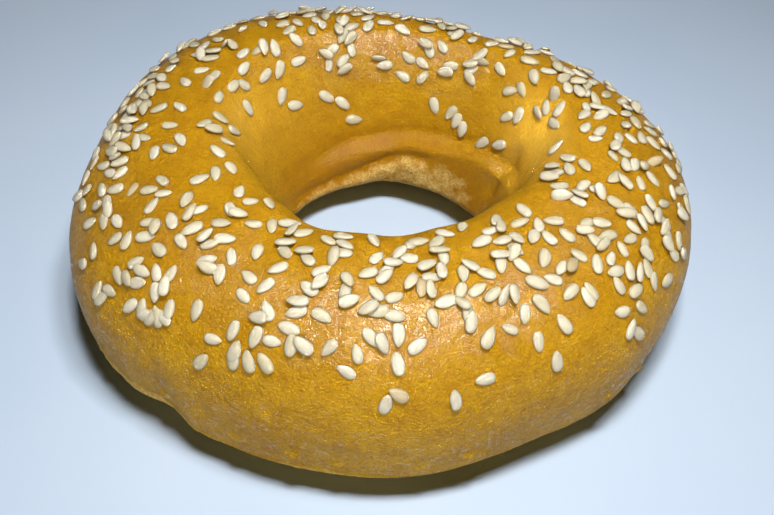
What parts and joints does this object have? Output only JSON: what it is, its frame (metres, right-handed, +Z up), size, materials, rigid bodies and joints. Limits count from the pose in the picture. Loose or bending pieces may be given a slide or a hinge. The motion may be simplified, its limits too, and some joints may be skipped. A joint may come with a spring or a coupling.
{
  "type": "sesame bagel",
  "caption": "Glazed golden bread ring with a browned smooth crust, an uneven round hole, a flat base and sesame seeds scattered over its top.",
  "frame": {"origin": "middle of the bagel's box, on the flat base that it rests on", "axes": "+Z up through the hole, +X to the right along the long side, -Y towards the side seen in front"},
  "size_m": [0.107, 0.094, 0.0342],
  "materials": {
    "crust": "glazed baked crust",
    "sesame": "satin hulled seed"
  },
  "bodies": {
    "root": {"bagel": "crust"}
  },
  "joints": []
}
